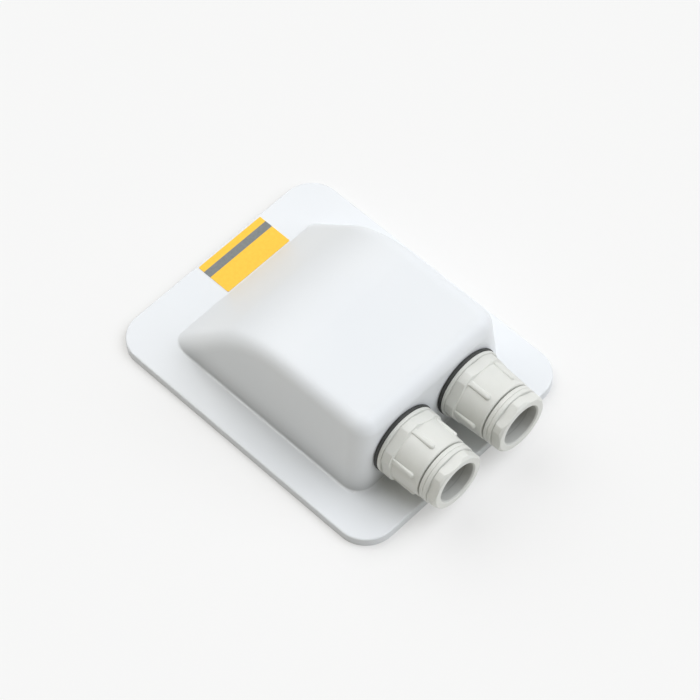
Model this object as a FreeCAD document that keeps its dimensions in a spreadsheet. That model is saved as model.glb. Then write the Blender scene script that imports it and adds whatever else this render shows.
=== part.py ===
import FreeCAD, Part
import math
import os
import Sketcher

# Roof entry housing with two cable glands. Millimetres, +Z up from the roof, glands towards -Y.
# The origin is the centre of the flange's underside.

document = FreeCAD.newDocument("RoofCableEntry")
sheet = document.addObject("Spreadsheet::Sheet", "sizes")

# Driving sizes: name, value, meaning
SIZES = [
    ("flange_thickness", 4.8, "sheet thickness of the flange"),
    ("flange_corner", 15.0, "corner radius of the flange seen from above"),
    ("flange_edge", 0.8, "rounding of the flange's upper outer edge"),
    ("front_margin", 21.0, "flange in front of the hump"),
    ("back_margin", 21.3, "flange behind the hump"),
    ("side_margin", 16.5, "flange on each side of the hump"),
    ("hump_length", 117.7, "front wall to the foot of the rear slope, along Y"),
    ("slope_angle", 46.0, "angle of the rear slope in degrees"),
    ("side_draft", 6.0, "lean of the side walls in degrees"),
    ("ridge_round", 55.0, "broad rounding from the top to the rear slope"),
    ("corner_round", 9.0, "rounding of the hump's two upright front corners"),
    ("edge_round", 7.5, "rounding of the top's edges and of the slope's edges"),
    ("foot_round", 1.0, "hollow rounding where the hump meets the flange"),
    ("shell", 3.0, "sheet thickness of the hump"),
    ("mouth_round", 3.0, "rounding of the sheet at the edge of the underside's opening"),
    ("hole_clearance", 0.35, "radial play of a gland's stub in the front wall"),
    ("seal_foot_gap", 2.1, "flat wall left between the foot rounding and a flat seal's face"),
    ("seal_top_gap", 1.6, "flat wall left between a flat seal's face and the rounding above it"),
    ("gland_gap", 4.6, "gap between the two flat seals"),
    ("locknut_gap", 0.6, "locknut's round bearing face to the rounding of the hollow's corner"),
    ("label_length", 39.0, "sticker along X"),
    ("label_thickness", 0.25, "sticker thickness"),
    ("label_corner", 0.6, "corner radius of the sticker"),
    ("label_shift", 9.1, "sticker centre to the side of the flange's centre line"),
    ("label_inset", 1.4, "flange's back edge to the sticker"),
    ("label_foot_gap", 0.15, "sticker to the rounding at the foot of the rear slope"),
    ("cable_width", 17.0, "thickest cable, and so the bore of the rubber sealing ring"),
    ("ring_wall", 3.7, "wall of the rubber sealing ring"),
    ("ring_length", 8.0, "rubber sealing ring along the axis"),
    ("ring_chamfer", 0.8, "chamfer on the sealing ring's outer edges"),
    ("play", 0.15, "radial play of what sits or turns in the chamber"),
    ("washer_room", 0.7, "radial room round the cable in each thrust washer"),
    ("washer_thickness", 1.0, "each thrust washer beside the sealing ring"),
    ("stub_room", 1.3, "radial room round the cable in the body's stub"),
    ("stub_wall", 4.35, "wall of the threaded stub that goes through the front wall"),
    ("stub_clearance", 0.15, "radial play between the stub and what is slipped over it"),
    ("stub_overhang", 3.0, "locknut to the stub's inner end"),
    ("wall_seal_overhang", 0.3, "rim of the flat seal beyond the collar"),
    ("wall_seal_thickness", 2.0, "thickness of the flat seal on the wall"),
    ("wall_seal_round", 0.5, "rounding of the flat seal's outer edges"),
    ("collar_step", 0.1, "rim of the body's collar beyond the corners of its hexagon"),
    ("collar_length", 1.8, "length of that collar along the axis"),
    ("small_chamfer", 0.4, "chamfer on the edges of the gland parts"),
    ("hexagon_step", 0.3, "flats of the body beyond the foot of its sleeve"),
    ("corner_step", 1.0, "turned corners of the body and of the nut beyond their flats"),
    ("body_hexagon", 5.4, "length of the body's hexagon"),
    ("hexagon_chamfer", 0.7, "length of the cone that ends that hexagon"),
    ("seat_depth", 0.7, "start of the body's hexagon to the seat of the inner thrust washer"),
    ("sleeve_wall", 2.55, "wall of the sleeve at its open end"),
    ("sleeve_taper", 0.8, "radius by which the sleeve is wider at the hexagon"),
    ("thread_grip", 9.1, "length of the nut's thread inside the sleeve when hand-tight"),
    ("rib_height", 0.6, "rib above the foot of the sleeve"),
    ("rib_width", 2.2, "width of a rib"),
    ("rib_end_gap", 3.0, "rib's round end to the sleeve's open end"),
    ("nut_gap", 0.7, "gap left between the body and the hand-tight nut"),
    ("nut_room", 1.5, "radial room round the cable in the clamping nut"),
    ("nut_collar_step", 0.2, "sleeve's mouth beyond the round collar of the clamping nut"),
    ("nut_collar_length", 4.3, "length of that collar along the axis"),
    ("nut_groove", 0.3, "width and depth of the fine groove round the nut's collar"),
    ("nut_flat_step", 1.2, "nut's collar beyond the flats of its hexagon"),
    ("nut_hexagon", 5.0, "length of the nut's hexagon"),
    ("nut_front_chamfer", 1.1, "cone round the front of the nut"),
    ("nut_bore_chamfer", 0.7, "chamfer at the mouth of the nut's bore"),
    ("locknut_wall", 2.35, "stub to the flats of the locknut inside"),
    ("locknut_length", 6.0, "thickness of the locknut"),
    ("locknut_bevel", 1.4, "length of the cone at each face of the locknut"),
    ("locknut_rim", 1.5, "locknut's flats to the edge of its round bearing face"),
    ("locknut_turn", 30.0, "angle of a locknut corner from +X, degrees"),
    ("body_turn_left", 34.0, "angle of a body corner from +X, left gland, degrees"),
    ("body_turn_right", 53.0, "the same for the right gland"),
    ("nut_turn_left", 5.0, "angle of a nut corner from +X, left gland, degrees"),
    ("nut_turn_right", 28.0, "the same for the right gland"),
    ("overcut", 1.0, "how far a cutting shape runs past what it cuts"),
]

# Sizes that follow from the ones above: name, formula, meaning
DERIVED = [
    ("washer_bore", "cable_width + 2 * washer_room", "hole in each thrust washer"),
    ("nut_bore", "cable_width + 2 * nut_room", "bore of the clamping nut"),
    ("cable_way", "cable_width + 2 * stub_room", "bore through the body's stub"),
    ("stub_width", "cable_way + 2 * stub_wall", "thread diameter of the stub"),
    ("wall_hole", "stub_width + 2 * hole_clearance", "hole in the front wall for each gland"),
    ("chamber_width", "cable_width + 2 * (ring_wall + play)", "bore that takes the seal and the nut"),
    ("sleeve_mouth", "chamber_width + 2 * sleeve_wall", "sleeve diameter at its open end"),
    ("sleeve_foot", "sleeve_mouth + 2 * sleeve_taper", "sleeve diameter at the hexagon"),
    ("rib_reach", "sleeve_foot / 2 + rib_height", "gland axis to the top of a rib"),
    ("body_flats", "sleeve_foot + 2 * hexagon_step", "width across the flats of the gland body"),
    ("body_corners", "body_flats + 2 * corner_step", "diameter to which the body's corners are turned"),
    ("collar_width", "body_corners + 2 * collar_step", "round collar of the gland body"),
    ("wall_seal_width", "collar_width + 2 * wall_seal_overhang", "outer diameter of the flat seal"),
    ("nut_collar_width", "sleeve_mouth - 2 * nut_collar_step", "round collar of the clamping nut"),
    ("nut_flats", "nut_collar_width - 2 * nut_flat_step", "width across the flats of the clamping nut"),
    ("nut_corners", "nut_flats + 2 * corner_step", "diameter to which the nut's corners are turned"),
    ("locknut_flats", "stub_width + 2 * locknut_wall", "width across the flats of the locknut"),
    ("locknut_bearing", "locknut_flats / 2 - locknut_rim", "radius of the locknut's bearing face"),
    ("hexagon_start", "wall_seal_thickness + collar_length", "wall face to the body's hexagon"),
    ("hexagon_end", "hexagon_start + body_hexagon", "wall face to the far end of that hexagon"),
    ("seat", "hexagon_start + seat_depth", "wall face to the seat of the inner thrust washer"),
    ("ring_start", "seat + washer_thickness", "wall face to the sealing ring"),
    ("ring_end", "ring_start + ring_length", "wall face to the outer thrust washer"),
    ("shank_start", "ring_end + washer_thickness", "wall face to the nut's inner end"),
    ("sleeve_end", "shank_start + thread_grip", "wall face to the sleeve's open end"),
    ("nut_start", "sleeve_end + nut_gap", "wall face to the nut's collar"),
    ("flats_start", "nut_start + nut_collar_length", "wall face to the nut's hexagon"),
    ("nut_end", "flats_start + nut_hexagon", "wall face to the front of the nut"),
    ("stub_end", "-shell - locknut_length - stub_overhang", "wall face to the stub's inner end, inwards"),
    ("slope", "slope_angle * 1 deg", "angle of the rear slope"),
    ("draft", "side_draft * 1 deg", "lean of the side walls"),
    ("lean", "tan(draft)", "how far a side wall leans in per unit of height"),
    ("seal_reach", "wall_seal_width / 2 - wall_seal_round", "radius of a flat seal's face on the wall"),
    ("gland_spacing", "wall_seal_width + gland_gap", "distance between the two gland axes"),
    ("gland_height", "flange_thickness + foot_round + seal_foot_gap + seal_reach",
     "underside to the gland axes"),
    ("hump_height", "gland_height + seal_reach + seal_top_gap + edge_round",
     "underside to the top of the hump"),
    ("gland_room", "(locknut_bearing + corner_round) / cos(draft) + locknut_gap",
     "gland axis to the side wall at the glands' height"),
    ("hump_width", "gland_spacing + 2 * (gland_room + (gland_height - flange_thickness) * lean)",
     "hump at its foot, along X"),
    ("flange_width", "hump_width + 2 * side_margin", "flange across the roof slope, along X"),
    ("flange_length", "hump_length + front_margin + back_margin", "flange from back to front, along Y"),
    ("front_wall", "flange_length / 2 - front_margin", "flange centre to the front wall's outer face"),
    ("back_foot", "flange_length / 2 - back_margin", "flange centre to the foot of the rear slope"),
    ("inner_top", "hump_height - shell", "underside of the hump's top"),
    ("inner_front", "front_wall - shell", "flange centre to the front wall's inner face"),
    ("slope_run", "shell / sin(slope)", "sheet thickness of the rear slope measured along Y"),
    ("side_run", "shell / cos(draft)", "sheet thickness of a side wall measured along X"),
    ("foot_run", "foot_round * tan(slope / 2)", "foot of the rear slope to the end of its rounding"),
    ("label_width", "back_margin - label_inset - foot_run - label_foot_gap", "sticker along Y"),
]


def fill_sheet():
    """Writes the driving sizes as numbers and the derived ones as formulas, each with its name."""
    row = 1
    for name, value, meaning in SIZES + DERIVED:
        sheet.set("A%d" % row, meaning)
        sheet.set("B%d" % row, str(value) if isinstance(value, float) else "=" + value)
        sheet.setAlias("B%d" % row, name)
        row += 1
    document.recompute()


def size(formula):
    """Number that a formula of named sizes gives."""
    result = sheet.evalExpression(formula)
    return float(getattr(result, "Value", result))


def bound(formula):
    """The same formula as another object must write it, with the sheet's name before each size."""
    names = {name for name, value, meaning in SIZES + DERIVED}
    words = []
    word = ""
    for letter in formula + " ":
        if letter.isalnum() or letter == "_":
            word += letter
        else:
            words.append("sizes." + word if word in names else word)
            words.append(letter)
            word = ""
    return "".join(words).strip()


def new_body(label):
    body = document.addObject("PartDesign::Body", label)
    body.Label = label
    return body


def new_sketch(body, plane, name, offset=None):
    """Sketch on one of the body's own origin planes, moved along its normal by a formula."""
    sketch = body.newObject("Sketcher::SketchObject", name)
    face = [f for f in body.Origin.OriginFeatures if f.Role == plane][0]
    sketch.AttachmentSupport = [(face, "")]
    sketch.MapMode = "FlatFace"
    if offset:
        sketch.setExpression("AttachmentOffset.Base.z", bound(offset))
    document.recompute()
    return sketch


def fix_point(sketch, element, end, place):
    """Dimensions one point of a sketch from its origin, sideways and upwards."""
    for kind, formula in zip(("DistanceX", "DistanceY"), place):
        number = sketch.addConstraint(Sketcher.Constraint(kind, -1, 1, element, end, size(formula)))
        sketch.setExpression("Constraints[%d]" % number, bound(formula))


def draw_outline(sketch, corners):
    """Closed outline through corners that are given as pairs of formulas."""
    places = [FreeCAD.Vector(size(across), size(up), 0) for across, up in corners]
    lines = []
    for start, end in zip(places, places[1:] + places[:1]):
        lines.append(sketch.addGeometry(Part.LineSegment(start, end)))
    for line, after in zip(lines, lines[1:] + lines[:1]):
        sketch.addConstraint(Sketcher.Constraint("Coincident", line, 2, after, 1))
    for line, corner in zip(lines, corners):
        fix_point(sketch, line, 1, corner)


def draw_circle(sketch, across, up, radius):
    centre = FreeCAD.Vector(size(across), size(up), 0)
    circle = sketch.addGeometry(Part.Circle(centre, FreeCAD.Vector(0, 0, 1), size(radius)))
    fix_point(sketch, circle, 3, (across, up))
    number = sketch.addConstraint(Sketcher.Constraint("Radius", circle, size(radius)))
    sketch.setExpression("Constraints[%d]" % number, bound(radius))


def draw_rectangle(sketch, width, length):
    """Rectangle centred on the origin."""
    half = "%s / 2" % width
    far = "%s / 2" % length
    draw_outline(sketch, [("-" + half, "-" + far), (half, "-" + far), (half, far), ("-" + half, far)])


def draw_hexagon(sketch, flats):
    """Hexagon with a corner on the sketch's first axis, given its width across flats."""
    corner = "%s / sqrt(3)" % flats
    middle = "%s / sqrt(3) / 2" % flats
    flat = "%s / 2" % flats
    draw_outline(sketch, [
        (corner, "0"), (middle, flat), ("-" + middle, flat),
        ("-" + corner, "0"), ("-" + middle, "-" + flat), (middle, "-" + flat),
    ])


def draw_rib(sketch, half, start, tip):
    """Outline of a rib: square where it starts, round at its tip."""
    shoulder = "%s - %s" % (tip, half)
    left_foot = FreeCAD.Vector(-size(half), size(start), 0)
    right_foot = FreeCAD.Vector(size(half), size(start), 0)
    left_top = FreeCAD.Vector(-size(half), size(shoulder), 0)
    right_top = FreeCAD.Vector(size(half), size(shoulder), 0)
    foot = sketch.addGeometry(Part.LineSegment(left_foot, right_foot))
    right = sketch.addGeometry(Part.LineSegment(right_foot, right_top))
    left = sketch.addGeometry(Part.LineSegment(left_top, left_foot))
    tip_circle = Part.Circle(FreeCAD.Vector(0, size(shoulder), 0), FreeCAD.Vector(0, 0, 1), size(half))
    arc = sketch.addGeometry(Part.ArcOfCircle(tip_circle, 0, math.pi))
    sketch.addConstraint(Sketcher.Constraint("Coincident", foot, 2, right, 1))
    sketch.addConstraint(Sketcher.Constraint("Coincident", right, 2, arc, 1))
    sketch.addConstraint(Sketcher.Constraint("Coincident", arc, 2, left, 1))
    sketch.addConstraint(Sketcher.Constraint("Coincident", left, 2, foot, 1))
    fix_point(sketch, foot, 1, ("-" + half, start))
    fix_point(sketch, foot, 2, (half, start))
    fix_point(sketch, right, 2, (half, shoulder))
    fix_point(sketch, left, 1, ("-" + half, shoulder))
    number = sketch.addConstraint(Sketcher.Constraint("DistanceY", -1, 1, arc, 3, size(shoulder)))
    sketch.setExpression("Constraints[%d]" % number, bound(shoulder))


def add_pad(body, sketch, length, name, both_ways=False):
    pad = body.newObject("PartDesign::Pad", name)
    pad.Profile = sketch
    pad.Midplane = both_ways
    pad.setExpression("Length", bound(length))
    document.recompute()
    return pad


def add_pocket(body, sketch, length, name, both_ways=False, reverse=False):
    pocket = body.newObject("PartDesign::Pocket", name)
    pocket.Profile = sketch
    pocket.Midplane = both_ways
    pocket.Reversed = reverse
    pocket.setExpression("Length", bound(length))
    document.recompute()
    return pocket


def add_turned(body, outline, name, kind="PartDesign::Revolution"):
    """Adds, or cuts, the shape that an outline of radius and length makes when turned round the axis."""
    sketch = new_sketch(body, "XZ_Plane", name + "_outline")
    draw_outline(sketch, outline)
    turned = body.newObject(kind, name)
    turned.Profile = sketch
    turned.ReferenceAxis = (sketch, ["V_Axis"])
    turned.Angle = 360.0
    document.recompute()
    return turned


def add_hexagon(body, flats, start, end, widest, name):
    """Cuts six flats into a turned length between two places along the axis."""
    sketch = new_sketch(body, "XY_Plane", name + "_outline", end)
    draw_hexagon(sketch, flats)
    draw_circle(sketch, "0", "0", "(%s + %s) / 2" % (flats, widest))
    return add_pocket(body, sketch, "%s - (%s)" % (end, start), name)


def edge_names(feature, wanted):
    """Names of a feature's edges whose points all pass a test."""
    names = []
    for number, edge in enumerate(feature.Shape.Edges, 1):
        if all(wanted(point) for point in edge.discretize(5)):
            names.append("Edge%d" % number)
    return names


def sharp_edges_above(feature, height):
    """Names of the edges that rise above a height and whose two faces meet at an angle."""
    names = []
    for name in edge_names(feature, lambda p: p.z > height - 0.001):
        edge = feature.Shape.getElement(name)
        middle = edge.valueAt((edge.FirstParameter + edge.LastParameter) / 2)
        faces = feature.Shape.ancestorsOfType(edge, Part.Face)
        normals = [face.normalAt(*face.Surface.parameter(middle)) for face in faces]
        if middle.z > height + 0.001 and normals[0].getAngle(normals[1]) > 0.02:
            names.append(name)
    return names


def add_round(body, feature, names, radius, name):
    """Rounds the named edges of a feature."""
    fillet = body.newObject("PartDesign::Fillet", name)
    fillet.Base = (feature, names)
    fillet.setExpression("Radius", bound(radius))
    document.recompute()
    return fillet


def near(first, second):
    return abs(first - second) < 0.001


def add_hump(body, front, top, slope_inset, side_inset, bottom, foot, rounds):
    """Wedge with leaning sides: vertical front, level top and a rear slope, all its edges rounded.

    The insets say how far the rear slope and the side walls lie inside the outer ones, so that the
    same shape makes both the hump and the hollow under it. It starts at the bottom, and its sides
    lean from the foot upwards. Rounds are those of the ridge, the front corners and the other edges.
    """
    def slope_at(height):
        return "back_foot - %s - (%s - flange_thickness) / tan(slope)" % (slope_inset, height)

    def wall_at(height):
        return "hump_width / 2 - %s - (%s - flange_thickness) * lean" % (side_inset, height)

    profile = new_sketch(body, "YZ_Plane", "hump_profile")
    draw_outline(profile, [
        ("-" + front, bottom), ("-" + front, top), (slope_at(top), top), (slope_at(bottom), bottom),
    ])
    feature = add_pad(body, profile, "hump_width", "hump", both_ways=True)
    top_z = size(top)
    ridge_y = size(slope_at(top))
    ridge = edge_names(feature, lambda p: near(p.z, top_z) and near(p.y, ridge_y))
    feature = add_round(body, feature, ridge, rounds[0], "ridge_rounding")

    sides = new_sketch(body, "XZ_Plane", "side_lean")
    above = "hump_height + overcut"
    beyond = "hump_width / 2 + overcut"
    for sign in ("", "-"):
        draw_outline(sides, [
            ("%s(%s)" % (sign, wall_at(foot)), foot),
            ("%s(%s)" % (sign, wall_at(above)), above),
            ("%s(%s)" % (sign, beyond), above),
            ("%s(%s)" % (sign, beyond), foot),
        ])
    feature = add_pocket(body, sides, "flange_length * 2", "leaning_sides", both_ways=True)

    front_y = -size(front)
    foot_z = size(foot)
    foot_x = size(wall_at(foot))
    lean = size("lean")

    def on_side(point):
        return point.z > foot_z - 0.001 and near(abs(point.x), foot_x - (point.z - foot_z) * lean)

    corners = edge_names(feature, lambda p: on_side(p) and near(p.y, front_y))
    feature = add_round(body, feature, corners, rounds[1], "front_corners")
    return add_round(body, feature, sharp_edges_above(feature, foot_z), rounds[2], "edge_rounding")


def make_housing():
    """One formed sheet: a flange with a hump on it, hollow underneath, and a hole for each gland."""
    hollow = new_body("hollow")
    add_hump(
        hollow, "inner_front", "inner_top", "slope_run", "side_run", "-overcut", "-overcut",
        ("ridge_round - shell", "corner_round - shell", "edge_round - shell"))

    body = new_body("housing")
    sketch = new_sketch(body, "XY_Plane", "flange_outline")
    draw_rectangle(sketch, "flange_width", "flange_length")
    flange = add_pad(body, sketch, "flange_thickness", "flange")
    half_width = size("flange_width / 2")
    half_length = size("flange_length / 2")
    corners = edge_names(flange, lambda p: near(abs(p.x), half_width) and near(abs(p.y), half_length))
    add_round(body, flange, corners, "flange_corner", "flange_corners")
    feature = add_hump(
        body, "front_wall", "hump_height", "0", "0", "0", "flange_thickness",
        ("ridge_round", "corner_round", "edge_round"))

    top = size("flange_thickness")
    width = size("hump_width / 2")
    front = size("front_wall")
    back = size("back_foot")

    def beside_hump(point, margin):
        return abs(point.x) > width + margin or not -front - margin < point.y < back + margin

    foot = edge_names(feature, lambda p: near(p.z, top) and not beside_hump(p, 0.01))
    feature = add_round(body, feature, foot, "foot_round", "foot_rounding")
    outside = size("foot_round") + 1
    rim = edge_names(feature, lambda p: near(p.z, top) and beside_hump(p, outside))
    feature = add_round(body, feature, rim, "flange_edge", "flange_edge_rounding")

    cut = body.newObject("PartDesign::Boolean", "hollow_cut")
    cut.Type = "Cut"
    cut.setObjects([hollow])
    document.recompute()
    mouth = edge_names(cut, lambda p: near(p.z, 0) and not beside_hump(p, 0))
    add_round(body, cut, mouth, "mouth_round", "mouth_rounding")

    holes = new_sketch(body, "XZ_Plane", "gland_holes")
    for sign in ("-", ""):
        draw_circle(holes, sign + "gland_spacing / 2", "gland_height", "wall_hole / 2")
    add_pocket(body, holes, "front_wall + overcut", "gland_hole_cut", reverse=True)
    return body


def make_label():
    """Blank sticker at the middle of the flange's back edge, a little to one side as in the photo."""
    body = new_body("label")
    sketch = new_sketch(body, "XY_Plane", "label_outline")
    draw_rectangle(sketch, "label_length", "label_width")
    pad = add_pad(body, sketch, "label_thickness", "label_sheet")
    half_length = size("label_length / 2")
    half_width = size("label_width / 2")
    corners = edge_names(pad, lambda p: near(abs(p.x), half_length) and near(abs(p.y), half_width))
    add_round(body, pad, corners, "label_corner", "label_corners")
    body.setExpression("Placement.Base.x", bound("label_shift"))
    body.setExpression("Placement.Base.y", bound("flange_length / 2 - label_inset - label_width / 2"))
    body.setExpression("Placement.Base.z", bound("flange_thickness"))
    return body


def place_on_gland(body, side, turn="0"):
    """Puts a part whose axis is Z on a gland's axis, Z pointing out of the wall, turned about it."""
    sign = {"left": "-", "right": ""}[side]
    outwards = FreeCAD.Rotation(FreeCAD.Vector(1, 0, 0), 90)
    about_axis = FreeCAD.Rotation(FreeCAD.Vector(0, 0, 1), size(turn))
    body.Placement = FreeCAD.Placement(FreeCAD.Vector(), outwards.multiply(about_axis))
    body.setExpression("Placement.Base.x", bound(sign + "gland_spacing / 2"))
    body.setExpression("Placement.Base.y", bound("-front_wall"))
    body.setExpression("Placement.Base.z", bound("gland_height"))


def make_wall_seal(side):
    """Flat rubber seal between the wall and the gland's collar."""
    body = new_body("wall_seal_" + side)
    hole = "stub_width / 2 + stub_clearance"
    rim = "wall_seal_width / 2"
    add_turned(body, [
        (hole, "0"),
        (rim + " - wall_seal_round", "0"),
        (rim, "wall_seal_round"),
        (rim, "wall_seal_thickness - wall_seal_round"),
        (rim + " - wall_seal_round", "wall_seal_thickness"),
        (hole, "wall_seal_thickness"),
    ], "seal")
    place_on_gland(body, side)
    return body


def make_gland_body(side):
    """Gland body: threaded stub, collar, hexagon and a tapered sleeve with a rib behind each corner."""
    body = new_body("gland_body_" + side)
    stub = "stub_width / 2"
    collar = "collar_width / 2"
    corners = "body_corners / 2"
    foot = "sleeve_foot / 2"
    mouth = "sleeve_mouth / 2"
    turned = add_turned(body, [
        ("0", "stub_end"),
        (stub + " - 2 * small_chamfer", "stub_end"),
        (stub, "stub_end + 2 * small_chamfer"),
        (stub, "wall_seal_thickness"),
        (collar + " - small_chamfer / 2", "wall_seal_thickness"),
        (collar, "wall_seal_thickness + small_chamfer / 2"),
        (collar, "hexagon_start - small_chamfer"),
        (collar + " - small_chamfer", "hexagon_start"),
        (corners + " - small_chamfer", "hexagon_start"),
        (corners, "hexagon_start + small_chamfer"),
        (corners, "hexagon_end - hexagon_chamfer"),
        (foot, "hexagon_end"),
        (mouth, "sleeve_end - small_chamfer"),
        (mouth + " - small_chamfer", "sleeve_end"),
        ("0", "sleeve_end"),
    ], "turned")
    add_hexagon(body, "body_flats", "hexagon_start", "hexagon_end", "body_corners", "flats")

    rib = new_sketch(body, "YZ_Plane", "rib_outline")
    draw_rib(rib, "rib_width / 2", "hexagon_end - hexagon_chamfer", "sleeve_end - rib_end_gap")
    pad = add_pad(body, rib, "rib_reach", "rib")
    pattern = body.newObject("PartDesign::PolarPattern", "ribs")
    pattern.Originals = [pad]
    pattern.Axis = (rib, ["V_Axis"])
    pattern.Angle = 360.0
    pattern.Occurrences = 6
    body.Tip = pattern
    document.recompute()

    narrow = "cable_way / 2"
    wide = "chamber_width / 2"
    add_turned(body, [
        ("0", "stub_end - overcut"),
        (narrow + " + small_chamfer + overcut", "stub_end - overcut"),
        (narrow, "stub_end + small_chamfer"),
        (narrow, "seat"),
        (wide, "seat"),
        (wide, "sleeve_end - small_chamfer"),
        (wide + " + small_chamfer + overcut", "sleeve_end + overcut"),
        ("0", "sleeve_end + overcut"),
    ], "bore", "PartDesign::Groove")
    place_on_gland(body, side, "body_turn_" + side)
    return body


def make_locknut(side):
    """Six-sided locknut on the stub, tight against the inside of the wall."""
    body = new_body("locknut_" + side)
    corners = "locknut_flats / sqrt(3)"
    near_face = "-shell"
    far_face = "-shell - locknut_length"
    hole = "stub_width / 2 + stub_clearance"
    add_turned(body, [
        (hole, far_face),
        ("locknut_bearing", far_face),
        (corners, far_face + " + locknut_bevel"),
        (corners, near_face + " - locknut_bevel"),
        ("locknut_bearing", near_face),
        (hole, near_face),
    ], "turned")
    add_hexagon(body, "locknut_flats", far_face, near_face, "2 * locknut_flats / sqrt(3)", "flats")
    place_on_gland(body, side, "locknut_turn")
    return body


def make_thrust_washer(name, side, start):
    """Thin flat ring that keeps the turning nut, or the seat, from wearing the rubber."""
    body = new_body(name + "_" + side)
    rim = "chamber_width / 2 - play"
    add_turned(body, [
        ("washer_bore / 2", start), (rim, start),
        (rim, start + " + washer_thickness"), ("washer_bore / 2", start + " + washer_thickness"),
    ], "washer")
    place_on_gland(body, side)
    return body


def make_sealing_ring(side):
    """Thick rubber ring that the nut squeezes on to the cable."""
    body = new_body("sealing_ring_" + side)
    rim = "chamber_width / 2 - play"
    add_turned(body, [
        ("cable_width / 2", "ring_start"),
        (rim + " - ring_chamfer", "ring_start"),
        (rim, "ring_start + ring_chamfer"),
        (rim, "ring_end - ring_chamfer"),
        (rim + " - ring_chamfer", "ring_end"),
        ("cable_width / 2", "ring_end"),
    ], "ring")
    place_on_gland(body, side)
    return body


def make_clamping_nut(side):
    """Nut whose threaded shank pushes on the outer thrust washer; round collar and six-sided head."""
    body = new_body("clamping_nut_" + side)
    shank = "chamber_width / 2 - play"
    collar = "nut_collar_width / 2"
    corners = "nut_corners / 2"
    groove = "nut_start + nut_collar_length / 2"
    add_turned(body, [
        ("0", "shank_start"),
        (shank + " - small_chamfer", "shank_start"),
        (shank, "shank_start + small_chamfer"),
        (shank, "nut_start"),
        (collar + " - small_chamfer", "nut_start"),
        (collar, "nut_start + small_chamfer"),
        (collar, groove + " - nut_groove / 2"),
        (collar + " - nut_groove", groove),
        (collar, groove + " + nut_groove / 2"),
        (collar, "flats_start - small_chamfer"),
        (collar + " - small_chamfer", "flats_start"),
        (corners + " - small_chamfer", "flats_start"),
        (corners, "flats_start + small_chamfer"),
        (corners, "nut_end - nut_front_chamfer"),
        (corners + " - nut_front_chamfer", "nut_end"),
        ("0", "nut_end"),
    ], "turned")
    add_hexagon(body, "nut_flats", "flats_start", "nut_end", "nut_corners", "flats")
    bore = "nut_bore / 2"
    add_turned(body, [
        ("0", "shank_start - overcut"),
        (bore, "shank_start - overcut"),
        (bore, "nut_end - nut_bore_chamfer"),
        (bore + " + nut_bore_chamfer + overcut", "nut_end + overcut"),
        ("0", "nut_end + overcut"),
    ], "bore", "PartDesign::Groove")
    place_on_gland(body, side, "nut_turn_" + side)
    return body


def check_document():
    """Stops the build if any object failed or came out empty."""
    for thing in document.Objects:
        if "Invalid" in thing.State or "Error" in thing.State:
            raise RuntimeError("%s did not compute" % thing.Name)
        shape = getattr(thing, "Shape", None)
        if thing.TypeId == "PartDesign::Body" and (shape is None or shape.isNull() or not shape.isValid()):
            raise RuntimeError("%s has no valid shape" % thing.Label)


def write_parts(bodies):
    os.makedirs("parts", exist_ok=True)
    for body in bodies:
        body.Shape.exportStep(os.path.join("parts", body.Label + ".step"))


fill_sheet()
bodies = [make_housing(), make_label()]
for side in ("left", "right"):
    bodies += [
        make_wall_seal(side),
        make_gland_body(side),
        make_locknut(side),
        make_thrust_washer("inner_washer", side, "seat"),
        make_sealing_ring(side),
        make_thrust_washer("outer_washer", side, "ring_end"),
        make_clamping_nut(side),
    ]
document.recompute()
check_document()
write_parts(bodies)
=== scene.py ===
import math
from collections import namedtuple

import bmesh
import bpy
from mathutils import Matrix, Vector


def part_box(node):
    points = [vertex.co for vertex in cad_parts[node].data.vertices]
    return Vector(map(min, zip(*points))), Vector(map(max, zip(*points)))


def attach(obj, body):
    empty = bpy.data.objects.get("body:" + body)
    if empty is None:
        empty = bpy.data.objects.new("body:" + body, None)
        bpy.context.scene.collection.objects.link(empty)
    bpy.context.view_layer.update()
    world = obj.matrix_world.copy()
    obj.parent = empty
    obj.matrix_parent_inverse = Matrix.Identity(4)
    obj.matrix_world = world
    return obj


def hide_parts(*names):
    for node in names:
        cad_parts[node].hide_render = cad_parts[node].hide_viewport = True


# Roof entry housing with two cable glands, in metres. +Z is up from the roof, -Y out of the glands.

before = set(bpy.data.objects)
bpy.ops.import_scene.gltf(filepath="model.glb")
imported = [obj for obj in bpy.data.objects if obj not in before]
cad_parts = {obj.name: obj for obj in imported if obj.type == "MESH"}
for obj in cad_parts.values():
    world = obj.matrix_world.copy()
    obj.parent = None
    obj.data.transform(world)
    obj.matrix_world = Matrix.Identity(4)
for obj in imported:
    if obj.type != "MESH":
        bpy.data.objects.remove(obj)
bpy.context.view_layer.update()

MM = 0.001
SIDES = ("left", "right")

# Places along a gland's axis, measured from the wall's outer face outwards
STUB_THREAD_START = -11.2 * MM
STUB_THREAD_END = 2.0 * MM
CHAMBER_SEAT = 4.5 * MM
CHAMBER_THREAD_START = 14.6 * MM
CHAMBER_END = 23.2 * MM
SHANK_THREAD_START = 14.9 * MM
SHANK_THREAD_END = 24.3 * MM

# Threads: radii, pitches and the groove's shape as shares of a pitch
STUB_RADIUS = 14.15 * MM
CHAMBER_RADIUS = 12.35 * MM
SHANK_RADIUS = 12.2 * MM
STUB_PITCH = 1.588 * MM
NUT_PITCH = 1.5 * MM
THREAD_DEPTH = 0.65 * MM
CREST_SHARE = 0.25
FLANK_SHARE = 0.5
THREAD_STEPS = 160
ROWS_PER_TURN = 12

# Sleeve of the gland body
SLEEVE_START = 9.2 * MM
SLEEVE_END = 23.2 * MM
SLEEVE_FOOT = 15.7 * MM
SLEEVE_MOUTH = 14.9 * MM

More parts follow.
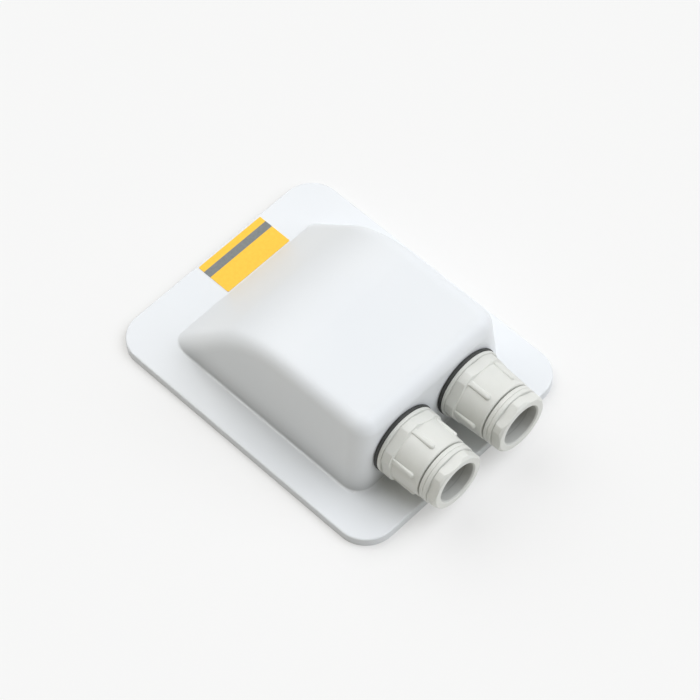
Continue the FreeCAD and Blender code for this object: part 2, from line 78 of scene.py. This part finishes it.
# Ribs on the sleeve: square next to the hexagon, then rounded. The flanks are shares of the rings.
# The solid's own ribs are taken off from RIB_CUT_START on, and the new ones start at RIB_ROOT.
RIB_REACH = 16.3 * MM
RIB_WIDTH = 2.7 * MM
RIB_CUT_START = 10.0 * MM
RIB_ROOT = 8.5 * MM
RIB_SQUARE_END = 9.3 * MM
RIB_BLEND = 1.2 * MM
RIB_SLACK = 0.05 * MM
RIB_SINK = 0.03 * MM
RIB_ROUND = 0.85
SQUARE_FLANK = 0.5
ROUND_FLANK = 0.75
RIB_RINGS = 8
RIB_STEPS = 16

# Small roundings of the moulded edges
GLAND_EDGE = 0.30 * MM
RUBBER_EDGE = 0.25 * MM
WASHER_EDGE = 0.12 * MM
EDGE_SEGMENTS = 3
SHARP_ANGLE = math.radians(25)

# How close points, walls and directions have to be to count as the same
SEAM_GAP = 0.002 * MM
RIB_SEAM_GAP = 0.001 * MM
WALL_SLACK = 0.03 * MM
FLAT_ANGLE = math.radians(0.4)
LEVEL_SHARE = 0.02
AXIS_SHARE = 0.99

# Range that nearly all of a noise's values lie in
NOISE_LOW = 0.3
NOISE_HIGH = 0.7

# Painted shade on the sheet's upright faces, above the hump's foot and on the flange's edge
FLANGE_TOP = 4.8 * MM
FOOT_SHADE_REACH = 16.0 * MM
FOOT_SHADE_FALL = 2.0
FOOT_SHADE_SHARE = 0.31
FOOT_SHADE_LEAN = 0.6
FLANGE_EDGE_SHADE_SHARE = 0.10
FLANGE_EDGE_SHADE_FADE = 1.0 * MM

# Smoother, glossier strip along the hollow rounding at the foot of the hump's walls
FOOT_HEIGHT = 1.1 * MM
FOOT_START = 0.01 * MM
FOOT_BACK_END = 54.0 * MM
FOOT_FRONT_END = -58.5 * MM
FOOT_FADE = 4.0 * MM
FOOT_ROUGHNESS = 0.24
FOOT_SPECULAR = 1.0
SHEET_SPECULAR = 0.4

# Painted shade inside the glands' bores, more of it deeper in
BORE_RADIUS = 10.0 * MM
BORE_CHAMFER = 0.7 * MM
BORE_MOUTH = 33.6 * MM
BORE_DEPTH = 7.5 * MM
MOUTH_SHADE_SHARE = 0.20
DEPTH_SHADE_SHARE = 0.20

# Shade in the corners where the hexagons rise from their collars: places on the axis
SEAMS = (3.8 * MM, 28.6 * MM)
SEAM_REACH = 0.40 * MM
SEAM_SHARE = 0.20

# Sticker
BAND_INSET = 3.6 * MM
BAND_WIDTH = 4.2 * MM
BAND_BLUR = 0.12 * MM
STICKER_SPECULAR = 0.3

# Background, and the light that comes from all round
BACKGROUND = (0.935, 0.935, 0.935, 1.0)
AMBIENT = 0.200
AMBIENT_TINT = (1.057, 1.0, 0.80, 1.0)

# Floor: its lift is the share of the background's white that the eye sees in it. The share is less
# near the flange, above all at the front, which paints a deeper contact shadow there, and none
# under it.
FLOOR_COLOUR = (0.832, 0.827, 0.814, 1.0)
FLOOR_SIZE = 8.0
FLOOR_DROP = 0.1 * MM
FLOOR_LIFT = 0.620
NEAR_SHARE = 0.62
NEAR_REACH = 8.0 * MM
FRONT_SHARE = 0.42
FRONT_REACH = 14.0 * MM
FRONT_START = -60.0 * MM
FRONT_END = -80.0 * MM
FLANGE_CORNER = 15.0 * MM
HIDDEN_INSET = 3.0 * MM

# Lamps
LAMP_ELEVATION = 50.0
LAMP_SOFTNESS = 60.0
FRONT_LAMP_AZIMUTH = 38.0
FRONT_LAMP_STRENGTH = 2.15
FRONT_LAMP_TINT = (0.966, 1.0, 1.075)
BACK_LAMP_AZIMUTH = 176.0
BACK_LAMP_STRENGTH = 1.64
BACK_LAMP_TINT = (0.991, 1.0, 1.020)

# Camera
CAMERA_AZIMUTH = -42.40
CAMERA_ELEVATION = 56.91
CAMERA_ROLL = -3.44
CAMERA_DISTANCE = 1331.6 * MM
CAMERA_AIM_RIGHT = 5.47 * MM
CAMERA_AIM_UP = 1.81 * MM
CAMERA_LENS = 154.286
SENSOR_WIDTH = 36.0
CLIP_START = 0.05
CLIP_END = 50.0

# What a gland piece is made of: its material, the slot of that material and its edges' rounding
Finish = namedtuple("Finish", "material slot edge_width")


# Node helpers

def empty_tree(owner, output_kind="ShaderNodeOutputMaterial"):
    """Clears the nodes of a material or a world; returns its tree and its output's surface."""
    owner.use_nodes = True
    tree = owner.node_tree
    tree.nodes.clear()
    return tree, tree.nodes.new(output_kind).inputs["Surface"]


def new_material(name):
    """Empty node material; returns it with its tree and its surface shader."""
    material = bpy.data.materials.new(name)
    tree, surface = empty_tree(material)
    shader = tree.nodes.new("ShaderNodeBsdfPrincipled")
    tree.links.new(shader.outputs["BSDF"], surface)
    return material, tree, shader


def feed(tree, value, socket):
    """Gives an input its value, which is a number or another node's output."""
    if isinstance(value, (int, float)):
        socket.default_value = value
    else:
        tree.links.new(value, socket)


def math_node(tree, operation, first, second=0.0):
    """One step of arithmetic on two values."""
    node = tree.nodes.new("ShaderNodeMath")
    node.operation = operation
    feed(tree, first, node.inputs[0])
    feed(tree, second, node.inputs[1])
    return node.outputs["Value"]


def product(tree, first, *others):
    """Several values multiplied."""
    for other in others:
        first = math_node(tree, "MULTIPLY", first, other)
    return first


def diagonal(tree, across, along):
    """Length of the diagonal over two lengths at right angles."""
    squares = [math_node(tree, "POWER", side, 2.0) for side in (across, along)]
    return math_node(tree, "SQRT", math_node(tree, "ADD", *squares))


def ranged(tree, value, start, end, low=0.0, high=1.0):
    """Goes from low to high while a value goes from start to end, and no further."""
    node = tree.nodes.new("ShaderNodeMapRange")
    feed(tree, value, node.inputs["Value"])
    feed(tree, start, node.inputs["From Min"])
    feed(tree, end, node.inputs["From Max"])
    feed(tree, low, node.inputs["To Min"])
    feed(tree, high, node.inputs["To Max"])
    return node.outputs["Result"]


def spread(tree, value, low, high):
    """A noise's values spread over a range."""
    return ranged(tree, value, NOISE_LOW, NOISE_HIGH, low, high)


def between(tree, share, first, second, kind="FLOAT"):
    """A number or colour that goes from the first to the second as the share goes from 0 to 1."""
    node = tree.nodes.new("ShaderNodeMix")
    node.data_type = kind
    feed(tree, share, node.inputs["Factor"])
    feed(tree, first, node.inputs["A"])
    feed(tree, second, node.inputs["B"])
    return node.outputs["Result"]


def mixed(tree, share, first, second):
    """A surface or a light that goes from the first to the second as the share goes from 0 to 1."""
    node = tree.nodes.new("ShaderNodeMixShader")
    tree.links.new(share, node.inputs["Fac"])
    tree.links.new(first, node.inputs[1])
    tree.links.new(second, node.inputs[2])
    return node.outputs["Shader"]


def object_position(tree):
    """The shaded point's place in its own object."""
    return tree.nodes.new("ShaderNodeTexCoord").outputs["Object"]


def axes(tree, vector):
    """A vector's parts along X, Y and Z, by these names."""
    node = tree.nodes.new("ShaderNodeSeparateXYZ")
    tree.links.new(vector, node.inputs["Vector"])
    return node.outputs


def stretched(tree, position, scale):
    """Position scaled along its three axes."""
    mapping = tree.nodes.new("ShaderNodeMapping")
    mapping.inputs["Scale"].default_value = scale
    tree.links.new(position, mapping.inputs["Vector"])
    return mapping.outputs["Vector"]


def noise(tree, position, scale, detail=3.0, roughness=0.55):
    """Soft noise, most of it between NOISE_LOW and NOISE_HIGH."""
    node = tree.nodes.new("ShaderNodeTexNoise")
    node.inputs["Scale"].default_value = scale
    node.inputs["Detail"].default_value = detail
    node.inputs["Roughness"].default_value = roughness
    tree.links.new(position, node.inputs["Vector"])
    return node.outputs["Fac"]


def ramp(tree, value, low_colour, high_colour, start=NOISE_LOW, end=NOISE_HIGH):
    """A colour that goes from one to another while a value goes from start to end."""
    node = tree.nodes.new("ShaderNodeValToRGB")
    first, last = node.color_ramp.elements
    first.position, first.color = start, (*low_colour, 1.0)
    last.position, last.color = end, (*high_colour, 1.0)
    tree.links.new(value, node.inputs["Fac"])
    return node.outputs["Color"]


def dimmed(tree, colour, factor):
    """A colour times a grey."""
    node = tree.nodes.new("ShaderNodeVectorMath")
    node.operation = "SCALE"
    tree.links.new(colour, node.inputs[0])
    tree.links.new(factor, node.inputs["Scale"])
    return node.outputs["Vector"]


def bump(tree, height, distance, strength=1.0, under=None):
    """A relief of the given depth, laid over another one where there is one."""
    node = tree.nodes.new("ShaderNodeBump")
    node.inputs["Strength"].default_value = strength
    node.inputs["Distance"].default_value = distance
    tree.links.new(height, node.inputs["Height"])
    if under:
        tree.links.new(under, node.inputs["Normal"])
    return node.outputs["Normal"]


# Materials

def painted_foot_shade(tree, position):
    """Painted shade for the sheet: 1 in the open, darker on upright faces near the hump's foot and
    on the flange's edge.
    """
    height = axes(tree, position)["Z"]
    normal = tree.nodes.new("ShaderNodeNewGeometry").outputs["Normal"]
    lean = math_node(tree, "ABSOLUTE", axes(tree, normal)["Z"])
    nearness = ranged(tree, height, FLANGE_TOP + FOOT_SHADE_REACH, FLANGE_TOP)
    most = ranged(
        tree, height, FLANGE_TOP - FLANGE_EDGE_SHADE_FADE, FLANGE_TOP, FLANGE_EDGE_SHADE_SHARE, FOOT_SHADE_SHARE)
    upright = ranged(tree, lean, FOOT_SHADE_LEAN, 0.0)
    shade_amount = product(tree, math_node(tree, "POWER", nearness, FOOT_SHADE_FALL), upright, most)
    return math_node(tree, "SUBTRACT", 1.0, shade_amount)


def foot_strip(tree, position):
    """1 on the hollow rounding where the hump's walls rise from the flange, 0 elsewhere."""
    place = axes(tree, position)
    risen = ranged(tree, place["Z"], FLANGE_TOP, FLANGE_TOP + FOOT_START)
    low = ranged(tree, place["Z"], FLANGE_TOP + FOOT_HEIGHT, FLANGE_TOP + FOOT_HEIGHT / 2)
    ahead = ranged(tree, place["Y"], FOOT_BACK_END, FOOT_BACK_END - FOOT_FADE)
    behind = ranged(tree, place["Y"], FOOT_FRONT_END, FOOT_FRONT_END + FOOT_FADE)
    return product(tree, risen, low, ahead, behind)


def painted_bore_shade(tree, position):
    """Painted shade for the glands: 1 outside, darker inside the bore and more so deeper in it."""
    place = axes(tree, position)
    distance = diagonal(tree, place["X"], place["Y"])
    inside = ranged(tree, distance, BORE_RADIUS + BORE_CHAMFER, BORE_RADIUS + BORE_CHAMFER / 2)
    deepest = BORE_MOUTH - BORE_DEPTH
    share = ranged(tree, place["Z"], BORE_MOUTH, deepest, MOUTH_SHADE_SHARE, MOUTH_SHADE_SHARE + DEPTH_SHADE_SHARE)
    return math_node(tree, "SUBTRACT", 1.0, product(tree, share, inside))


def seam_shade(tree, position):
    """A grey for the glands: 1 outside, darker close to the seams between collar and hexagon."""
    along = axes(tree, position)["Z"]
    shade = 1.0
    for seam in SEAMS:
        distance = math_node(tree, "ABSOLUTE", math_node(tree, "SUBTRACT", along, seam))
        darkness = ranged(tree, distance, SEAM_REACH, 0.0, 0.0, SEAM_SHARE)
        shade = math_node(tree, "SUBTRACT", shade, darkness)
    return shade


def make_sheet_plastic():
    """White formed sheet: satin, with the faint ripple and orange peel of a formed surface."""
    material, tree, shader = new_material("white_sheet_plastic")
    position = object_position(tree)
    cloud = noise(tree, position, scale=14.0, detail=2.0)
    grain = noise(tree, position, scale=900.0, detail=2.0)
    ripple = noise(tree, position, scale=45.0, detail=1.0)
    unshaded = ramp(tree, cloud, (0.735, 0.755, 0.775), (0.760, 0.776, 0.790))
    strip = foot_strip(tree, position)
    roughness = between(tree, strip, spread(tree, grain, 0.42, 0.52), FOOT_ROUGHNESS)
    specular = between(tree, strip, SHEET_SPECULAR, FOOT_SPECULAR)
    wavy = bump(tree, ripple, distance=0.25 * MM, strength=0.35)
    relief = bump(tree, grain, distance=0.02 * MM, strength=0.35, under=wavy)
    # Base colour times the painted shade near the hump's foot and on the flange's edge
    tree.links.new(dimmed(tree, unshaded, painted_foot_shade(tree, position)), shader.inputs["Base Color"])
    tree.links.new(roughness, shader.inputs["Roughness"])
    tree.links.new(specular, shader.inputs["Specular IOR Level"])
    tree.links.new(relief, shader.inputs["Normal"])
    shader.inputs["IOR"].default_value = 1.5
    return material


def make_gland_plastic():
    """Light grey nylon: fine moulding grain, weak flow marks along the axis."""
    material, tree, shader = new_material("grey_nylon")
    position = object_position(tree)
    flow = noise(tree, stretched(tree, position, (1.0, 1.0, 0.12)), scale=420.0)
    grain = noise(tree, position, scale=3200.0, detail=2.0)
    cloud = noise(tree, position, scale=110.0, detail=2.0)
    unshaded = ramp(tree, cloud, (0.655, 0.660, 0.622), (0.690, 0.694, 0.657))
    # Painted shade inside the bores and at the seams between collar and hexagon
    shade = product(tree, painted_bore_shade(tree, position), seam_shade(tree, position))
    streaks = bump(tree, flow, distance=0.03 * MM, strength=0.4)
    relief = bump(tree, grain, distance=0.012 * MM, strength=0.5, under=streaks)
    tree.links.new(dimmed(tree, unshaded, shade), shader.inputs["Base Color"])
    tree.links.new(spread(tree, flow, 0.40, 0.52), shader.inputs["Roughness"])
    tree.links.new(relief, shader.inputs["Normal"])
    shader.inputs["IOR"].default_value = 1.52
    return material


def make_rubber():
    """Matt black rubber with a trace of dust."""
    material, tree, shader = new_material("black_rubber")
    position = object_position(tree)
    dust = noise(tree, position, scale=260.0, detail=4.0, roughness=0.65)
    grain = noise(tree, position, scale=2600.0)
    colour = ramp(tree, dust, (0.016, 0.017, 0.016), (0.055, 0.057, 0.054), start=0.35, end=0.75)
    relief = bump(tree, grain, distance=0.03 * MM, strength=0.6)
    tree.links.new(colour, shader.inputs["Base Color"])
    tree.links.new(spread(tree, dust, 0.55, 0.75), shader.inputs["Roughness"])
    tree.links.new(relief, shader.inputs["Normal"])
    return material


def make_washer_plastic():
    """Natural nylon washers, slightly creamy."""
    material, tree, shader = new_material("natural_nylon")
    position = object_position(tree)
    cloud = noise(tree, position, scale=180.0)
    grain = noise(tree, position, scale=2400.0, detail=2.0)
    colour = ramp(tree, cloud, (0.70, 0.69, 0.63), (0.78, 0.77, 0.71))
    relief = bump(tree, grain, distance=0.02 * MM, strength=0.5)
    tree.links.new(colour, shader.inputs["Base Color"])
    tree.links.new(spread(tree, cloud, 0.38, 0.5), shader.inputs["Roughness"])
    tree.links.new(relief, shader.inputs["Normal"])
    return material


def on_band(tree, position):
    """1 on the sticker's grey band, 0 beside it."""
    along = axes(tree, position)["Y"]
    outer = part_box("label")[1].y - BAND_INSET
    inner = outer - BAND_WIDTH
    past_inner = ranged(tree, along, inner - BAND_BLUR, inner + BAND_BLUR)
    before_outer = ranged(tree, along, outer + BAND_BLUR, outer - BAND_BLUR)
    return product(tree, past_inner, before_outer)


def make_sticker():
    """Yellow vinyl with one grey band along the outer edge, and no print."""
    material, tree, shader = new_material("yellow_vinyl")
    position = object_position(tree)
    ink = noise(tree, position, scale=600.0, detail=4.0, roughness=0.6)
    lift = noise(tree, position, scale=130.0, detail=1.0)
    yellow = ramp(tree, ink, (0.89, 0.515, 0.032), (0.93, 0.570, 0.048))
    grey = ramp(tree, ink, (0.150, 0.165, 0.165), (0.200, 0.215, 0.210))
    colour = between(tree, on_band(tree, position), yellow, grey, kind="RGBA")
    relief = bump(tree, lift, distance=0.08 * MM, strength=0.35)
    tree.links.new(colour, shader.inputs["Base Color"])
    tree.links.new(spread(tree, ink, 0.32, 0.42), shader.inputs["Roughness"])
    tree.links.new(relief, shader.inputs["Normal"])
    shader.inputs["Specular IOR Level"].default_value = STICKER_SPECULAR
    return material


# Gland pieces

def gland_place(side):
    """Frame of one gland: origin on its axis at the wall's outer face, local Z out of the wall."""
    low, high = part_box("clamping_nut_" + side)
    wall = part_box("wall_seal_" + side)[1].y
    centre = (low + high) / 2
    return Matrix.Translation((centre.x, wall, centre.z)) @ Matrix.Rotation(math.pi / 2, 4, "X")


def open_copy(node, place):
    """A CAD node's surface with its seams closed, in the gland's frame."""
    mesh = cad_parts[node].data
    form = bmesh.new()
    form.from_mesh(mesh)
    bmesh.ops.transform(form, matrix=place.inverted(), verts=form.verts)
    bmesh.ops.remove_doubles(form, verts=form.verts, dist=SEAM_GAP)
    bmesh.ops.dissolve_limit(form, angle_limit=FLAT_ANGLE, verts=form.verts, edges=form.edges)
    return form


def clamped(value):
    """A value kept between 0 and 1."""
    return min(1.0, max(0.0, value))


def sleeve_radius(along):
    """Outer radius of the tapered sleeve at a place on the axis."""
    share = (along - SLEEVE_START) / (SLEEVE_END - SLEEVE_START)
    return SLEEVE_FOOT + (SLEEVE_MOUTH - SLEEVE_FOOT) * share


def take_ribs_off(form):
    """Takes the flat-topped ribs off the sleeve; returns the direction and tip of each."""
    form.normal_update()
    faces = []
    tips = {}
    for face in form.faces:
        middle = face.calc_center_median()
        distance = math.hypot(middle.x, middle.y)
        if middle.z < RIB_CUT_START or distance < sleeve_radius(middle.z) + RIB_SLACK:
            continue
        faces.append(face)
        level = abs(face.normal.z) < LEVEL_SHARE
        if level and face.normal.dot(middle) > RIB_REACH - RIB_SLACK:
            direction = round(math.degrees(math.atan2(face.normal.y, face.normal.x)), 1)
            tip = max(vert.co.z for vert in face.verts)
            tips[direction] = max(tip, tips.get(direction, tip))
    bmesh.ops.delete(form, geom=faces, context="FACES")
    return tips


def square_rib(share):
    """Inset and climb of a square rib's rings: up its flank, then in across its top."""
    inset = max(0.0, (share - SQUARE_FLANK) / (1 - SQUARE_FLANK))
    return inset, min(1.0, share / SQUARE_FLANK)


def round_rib(share):
    """Inset and climb of a rounded rib's rings: up a quarter round, then across a flat top."""
    turn = min(1.0, share / ROUND_FLANK) * math.pi / 2
    flat = max(0.0, (share - ROUND_FLANK) / (1 - ROUND_FLANK))
    return RIB_ROUND * (1 - math.cos(turn)) + (1 - RIB_ROUND) * flat, math.sin(turn)


def rib_point(along, turn, ring):
    """Place on a rib: across it, out from the axis and along the axis, for one of its rings.

    The rings climb from the sleeve to the rib's middle line. They are square near the hexagon and
    rounded further out. At the tip the outline turns half round the end of the middle line.
    """
    share = ring / RIB_RINGS
    rounding = clamped((along - RIB_SQUARE_END) / RIB_BLEND)
    inset, climb = (
        (1 - rounding) * square + rounding * rounded
        for square, rounded in zip(square_rib(share), round_rib(share)))
    half = RIB_WIDTH / 2 * (1 - inset)
    across = half * math.cos(turn)
    place = along + half * math.sin(turn)
    base = math.sqrt(sleeve_radius(place) ** 2 - across ** 2)
    sink = RIB_SINK if ring == 0 else 0.0
    return across, base + (RIB_REACH - base) * climb - sink, place


def add_rib(form, direction, tip):
    """One moulded rib behind a corner of the hexagon, half-round with a round tip."""
    shoulder = tip - RIB_WIDTH / 2
    stations = [RIB_ROOT + (shoulder - RIB_ROOT) * step / RIB_STEPS for step in range(RIB_STEPS)]
    outline = [(along, math.pi) for along in stations]
    outline += [(shoulder, math.pi * (1 - step / RIB_STEPS)) for step in range(RIB_STEPS + 1)]
    outline += [(along, 0.0) for along in reversed(stations)]
    out = Vector((math.cos(math.radians(direction)), math.sin(math.radians(direction)), 0))
    side = Vector((0, 0, 1)).cross(out)
    rings = []
    for ring in range(RIB_RINGS + 1):
        verts = []
        for along, turn in outline:
            across, reach, place = rib_point(along, turn, ring)
            verts.append(form.verts.new(across * side + reach * out + Vector((0, 0, place))))
        rings.append(verts)
    for lower, upper in zip(rings, rings[1:]):
        for step in range(len(outline) - 1):
            corners = [lower[step], upper[step], upper[step + 1], lower[step + 1]]
            form.faces.new(corners).smooth = True
    bmesh.ops.remove_doubles(
        form, verts=[vert for ring in rings for vert in ring], dist=RIB_SEAM_GAP)


def mark_hard_edges(form):
    """Marks a form's hard edges, the outer ones to be softened; a hexagon's corners stay smooth."""
    hard = form.edges.layers.float.new("bevel_weight_edge")
    for edge in form.edges:
        start, end = (vert.co for vert in edge.verts)
        along_axis = abs((end - start).normalized().z) > AXIS_SHARE
        if edge.calc_face_angle(0.0) > SHARP_ANGLE and not along_axis:
            edge[hard] = 1.0 if edge.is_convex else 0.0
            edge.smooth = False
    for face in form.faces:
        face.smooth = True


def cut_wall(form, radius, start, end):
    """Takes out the plain round wall of one radius between two places on the axis."""
    def on_wall(point):
        off_wall = abs(math.hypot(point.x, point.y) - radius)
        return off_wall < WALL_SLACK and start - WALL_SLACK < point.z < end + WALL_SLACK

    wall = [face for face in form.faces if all(on_wall(vert.co) for vert in face.verts)]
    bmesh.ops.delete(form, geom=wall, context="FACES")


def groove(phase):
    """Shape of a thread across one pitch: 0 on the crest, 1 at the root, with sloping flanks."""
    across = abs(2 * (phase % 1.0) - 1)
    rise = clamped((across - CREST_SHARE) / FLANK_SHARE)
    return rise * rise * (3 - 2 * rise)


def add_thread(form, radius, ends, thread_start, pitch, inside):
    """Round wall with a right-hand thread cut into it from thread_start on, fading at its ends."""
    start, end = ends
    rows = math.ceil((end - start) / pitch * ROWS_PER_TURN)
    towards = 1 if inside else -1
    rings = []
    for row in range(rows + 1):
        along = start + (end - start) * row / rows
        depth = THREAD_DEPTH * clamped(min(along - thread_start, end - along) / pitch)
        ring = []
        for step in range(THREAD_STEPS):
            turn = step / THREAD_STEPS
            reach = radius + towards * depth * groove(along / pitch - turn)
            angle = 2 * math.pi * turn
            ring.append(form.verts.new((reach * math.cos(angle), reach * math.sin(angle), along)))
        rings.append(ring)
    for lower, upper in zip(rings, rings[1:]):
        for step in range(THREAD_STEPS):
            after = (step + 1) % THREAD_STEPS
            corners = [lower[step], lower[after], upper[after], upper[step]]
            face = form.faces.new(corners[::-1] if inside else corners)
            face.smooth = True


def finish_piece(form, name, node, place, body, finish):
    """Turns a form into a piece that stands for its CAD node, with softened hard edges."""
    material, slot, edge_width = finish
    mesh = bpy.data.meshes.new(name)
    form.to_mesh(mesh)
    form.free()
    mesh.materials.append(material)
    piece = bpy.data.objects.new(name, mesh)
    bpy.context.scene.collection.objects.link(piece)
    piece.matrix_world = place
    soften = piece.modifiers.new("edges", "BEVEL")
    soften.limit_method = "WEIGHT"
    soften.width = edge_width
    soften.segments = EDGE_SEGMENTS
    normals = piece.modifiers.new("normals", "WEIGHTED_NORMAL")
    normals.keep_sharp = True
    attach(piece, body)
    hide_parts(node)


def make_gland_body(side, finish):
    """Stub, collar, hexagon and ribbed sleeve, with both threads."""
    place = gland_place(side)
    node = "gland_body_" + side
    stub_ends = (STUB_THREAD_START, STUB_THREAD_END)
    chamber_ends = (CHAMBER_SEAT, CHAMBER_END)
    form = open_copy(node, place)
    tips = take_ribs_off(form)
    mark_hard_edges(form)
    cut_wall(form, STUB_RADIUS, *stub_ends)
    cut_wall(form, CHAMBER_RADIUS, *chamber_ends)
    add_thread(form, STUB_RADIUS, stub_ends, STUB_THREAD_START, STUB_PITCH, inside=False)
    add_thread(form, CHAMBER_RADIUS, chamber_ends, CHAMBER_THREAD_START, NUT_PITCH, inside=True)
    for direction, tip in tips.items():
        add_rib(form, direction, tip)
    finish_piece(form, "gland_" + side, node, place, "roof_housing", finish)


def make_clamping_nut(side, finish):
    """The nut at the open end, with the thread on its shank."""
    place = gland_place(side)
    node = "clamping_nut_" + side
    shank_ends = (SHANK_THREAD_START, SHANK_THREAD_END)
    form = open_copy(node, place)
    mark_hard_edges(form)
    cut_wall(form, SHANK_RADIUS, *shank_ends)
    add_thread(form, SHANK_RADIUS, shank_ends, SHANK_THREAD_START, NUT_PITCH, inside=False)
    finish_piece(form, "nut_" + side, node, place, "nut_" + side, finish)


def make_plain_piece(name, node, side, body, finish):
    """A piece that keeps its CAD shape, apart from softened edges."""
    place = gland_place(side)
    form = open_copy(node + side, place)
    mark_hard_edges(form)
    finish_piece(form, name + side, node + side, place, body, finish)


def make_glands():
    """All pieces of both glands."""
    nylon = Finish(make_gland_plastic(), "gland_plastic", GLAND_EDGE)
    rubber = Finish(make_rubber(), "seal_rubber", RUBBER_EDGE)
    washer = Finish(make_washer_plastic(), "washer_plastic", WASHER_EDGE)
    for side in SIDES:
        make_gland_body(side, nylon)
        make_clamping_nut(side, nylon)
        make_plain_piece("lock_", "locknut_", side, "roof_housing", nylon)
        make_plain_piece("flat_seal_", "wall_seal_", side, "roof_housing", rubber)
        make_plain_piece("cable_seal_", "sealing_ring_", side, "roof_housing", rubber)
        make_plain_piece("seat_washer_", "inner_washer_", side, "roof_housing", washer)
        make_plain_piece("press_washer_", "outer_washer_", side, "press_" + side, washer)


def paint(node, material):
    """Gives a CAD node that keeps its own mesh its material."""
    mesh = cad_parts[node].data
    mesh.materials.clear()
    mesh.materials.append(material)


# Stage

def white_for_the_eye(tree):
    """1 for the rays that the camera, a reflection or a see-through surface sends out, else 0."""
    rays = tree.nodes.new("ShaderNodeLightPath").outputs
    seen = math_node(tree, "MAXIMUM", rays["Is Camera Ray"], rays["Is Glossy Ray"])
    return math_node(tree, "MAXIMUM", seen, rays["Is Transmission Ray"])


def make_world():
    """Pale background for the eye, and a weaker tinted light from all round."""
    world = bpy.data.worlds.new("studio")
    bpy.context.scene.world = world
    tree, surface = empty_tree(world, "ShaderNodeOutputWorld")
    light = tree.nodes.new("ShaderNodeBackground")
    light.inputs["Color"].default_value = AMBIENT_TINT
    light.inputs["Strength"].default_value = AMBIENT
    backdrop = tree.nodes.new("ShaderNodeBackground")
    backdrop.inputs["Color"].default_value = BACKGROUND
    eye = white_for_the_eye(tree)
    look = mixed(tree, eye, light.outputs["Background"], backdrop.outputs["Background"])
    tree.links.new(look, surface)


def past(tree, value, line):
    """How far a value, taken without its sign, lies past a line; 0 before it."""
    over = math_node(tree, "SUBTRACT", math_node(tree, "ABSOLUTE", value), line)
    return math_node(tree, "MAXIMUM", over, 0.0)


def floor_lift_share(tree):
    """Share of the floor's lift: full in the open, less near the flange as painted contact shadow,
    none under it.
    """
    place = axes(tree, object_position(tree))
    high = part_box("housing")[1]
    across = past(tree, place["X"], high.x - FLANGE_CORNER)
    along = past(tree, place["Y"], high.y - FLANGE_CORNER)
    distance = math_node(tree, "SUBTRACT", diagonal(tree, across, along), FLANGE_CORNER)
    # Less lift near the flange, and least at the front, paints a deeper contact shadow
    front = ranged(tree, place["Y"], FRONT_START, FRONT_END)
    reach = between(tree, front, NEAR_REACH, FRONT_REACH)
    near_share = between(tree, front, NEAR_SHARE, FRONT_SHARE)
    share = ranged(tree, distance, 0.0, reach, near_share, 1.0)
    share.node.interpolation_type = "SMOOTHSTEP"
    outside = math_node(tree, "GREATER_THAN", distance, -HIDDEN_INSET)
    return product(tree, share, outside)


def make_floor_material():
    """Pale matt surface that shows soft shadows, lifted a little towards the background's white,
    and less near the flange, which paints a deeper contact shadow.
    """
    material = bpy.data.materials.new("floor")
    tree, surface = empty_tree(material)
    matt = tree.nodes.new("ShaderNodeBsdfDiffuse")
    matt.inputs["Color"].default_value = FLOOR_COLOUR
    glow = tree.nodes.new("ShaderNodeEmission")
    glow.inputs["Color"].default_value = BACKGROUND
    lift = product(tree, white_for_the_eye(tree), FLOOR_LIFT, floor_lift_share(tree))
    look = mixed(tree, lift, matt.outputs["BSDF"], glow.outputs["Emission"])
    tree.links.new(look, surface)
    return material


def make_floor():
    """Level floor, just below the flange's underside."""
    half = FLOOR_SIZE / 2
    mesh = bpy.data.meshes.new("floor")
    corners = [(-half, -half, 0), (half, -half, 0), (half, half, 0), (-half, half, 0)]
    mesh.from_pydata(corners, [], [(0, 1, 2, 3)])
    mesh.materials.append(make_floor_material())
    floor = bpy.data.objects.new("floor", mesh)
    floor.location.z = -FLOOR_DROP
    bpy.context.scene.collection.objects.link(floor)


def make_sun(name, azimuth, strength, tint):
    """Soft lamp that shines from a direction; azimuth 0 is from the front, 90 from the right."""
    lamp = bpy.data.lights.new(name, "SUN")
    lamp.energy = strength
    lamp.color = tint
    lamp.angle = math.radians(LAMP_SOFTNESS)
    holder = bpy.data.objects.new(name, lamp)
    turn = math.radians(azimuth)
    up = math.radians(LAMP_ELEVATION)
    towards = Vector((math.sin(turn) * math.cos(up), -math.cos(turn) * math.cos(up), math.sin(up)))
    holder.rotation_mode = "QUATERNION"
    holder.rotation_quaternion = towards.to_track_quat("Z", "Y")
    bpy.context.scene.collection.objects.link(holder)


def make_camera():
    """Camera at the photograph's place: from the front left, steeply above, slightly rolled."""
    azimuth = math.radians(CAMERA_AZIMUTH)
    elevation = math.radians(CAMERA_ELEVATION)
    roll = math.radians(CAMERA_ROLL)
    back = Vector((
        math.sin(azimuth) * math.cos(elevation),
        -math.cos(azimuth) * math.cos(elevation),
        math.sin(elevation),
    ))
    level = Vector((math.cos(azimuth), math.sin(azimuth), 0.0))
    upright = back.cross(level)
    right = math.cos(roll) * level + math.sin(roll) * upright
    up = math.cos(roll) * upright - math.sin(roll) * level
    aim = Vector((0, 0, FLANGE_TOP)) + CAMERA_AIM_RIGHT * right + CAMERA_AIM_UP * up
    lens = bpy.data.cameras.new("camera")
    lens.lens = CAMERA_LENS
    lens.sensor_width = SENSOR_WIDTH
    lens.clip_start = CLIP_START
    lens.clip_end = CLIP_END
    camera = bpy.data.objects.new("camera", lens)
    turned = Matrix((right, up, back)).transposed().to_4x4()
    camera.matrix_world = Matrix.Translation(aim + CAMERA_DISTANCE * back) @ turned
    bpy.context.scene.collection.objects.link(camera)
    bpy.context.scene.camera = camera


paint("housing", make_sheet_plastic())
paint("label", make_sticker())
make_glands()
make_world()
make_floor()
make_sun("front_lamp", FRONT_LAMP_AZIMUTH, FRONT_LAMP_STRENGTH, FRONT_LAMP_TINT)
make_sun("back_lamp", BACK_LAMP_AZIMUTH, BACK_LAMP_STRENGTH, BACK_LAMP_TINT)
make_camera()
bpy.context.scene.view_settings.view_transform = "Standard"
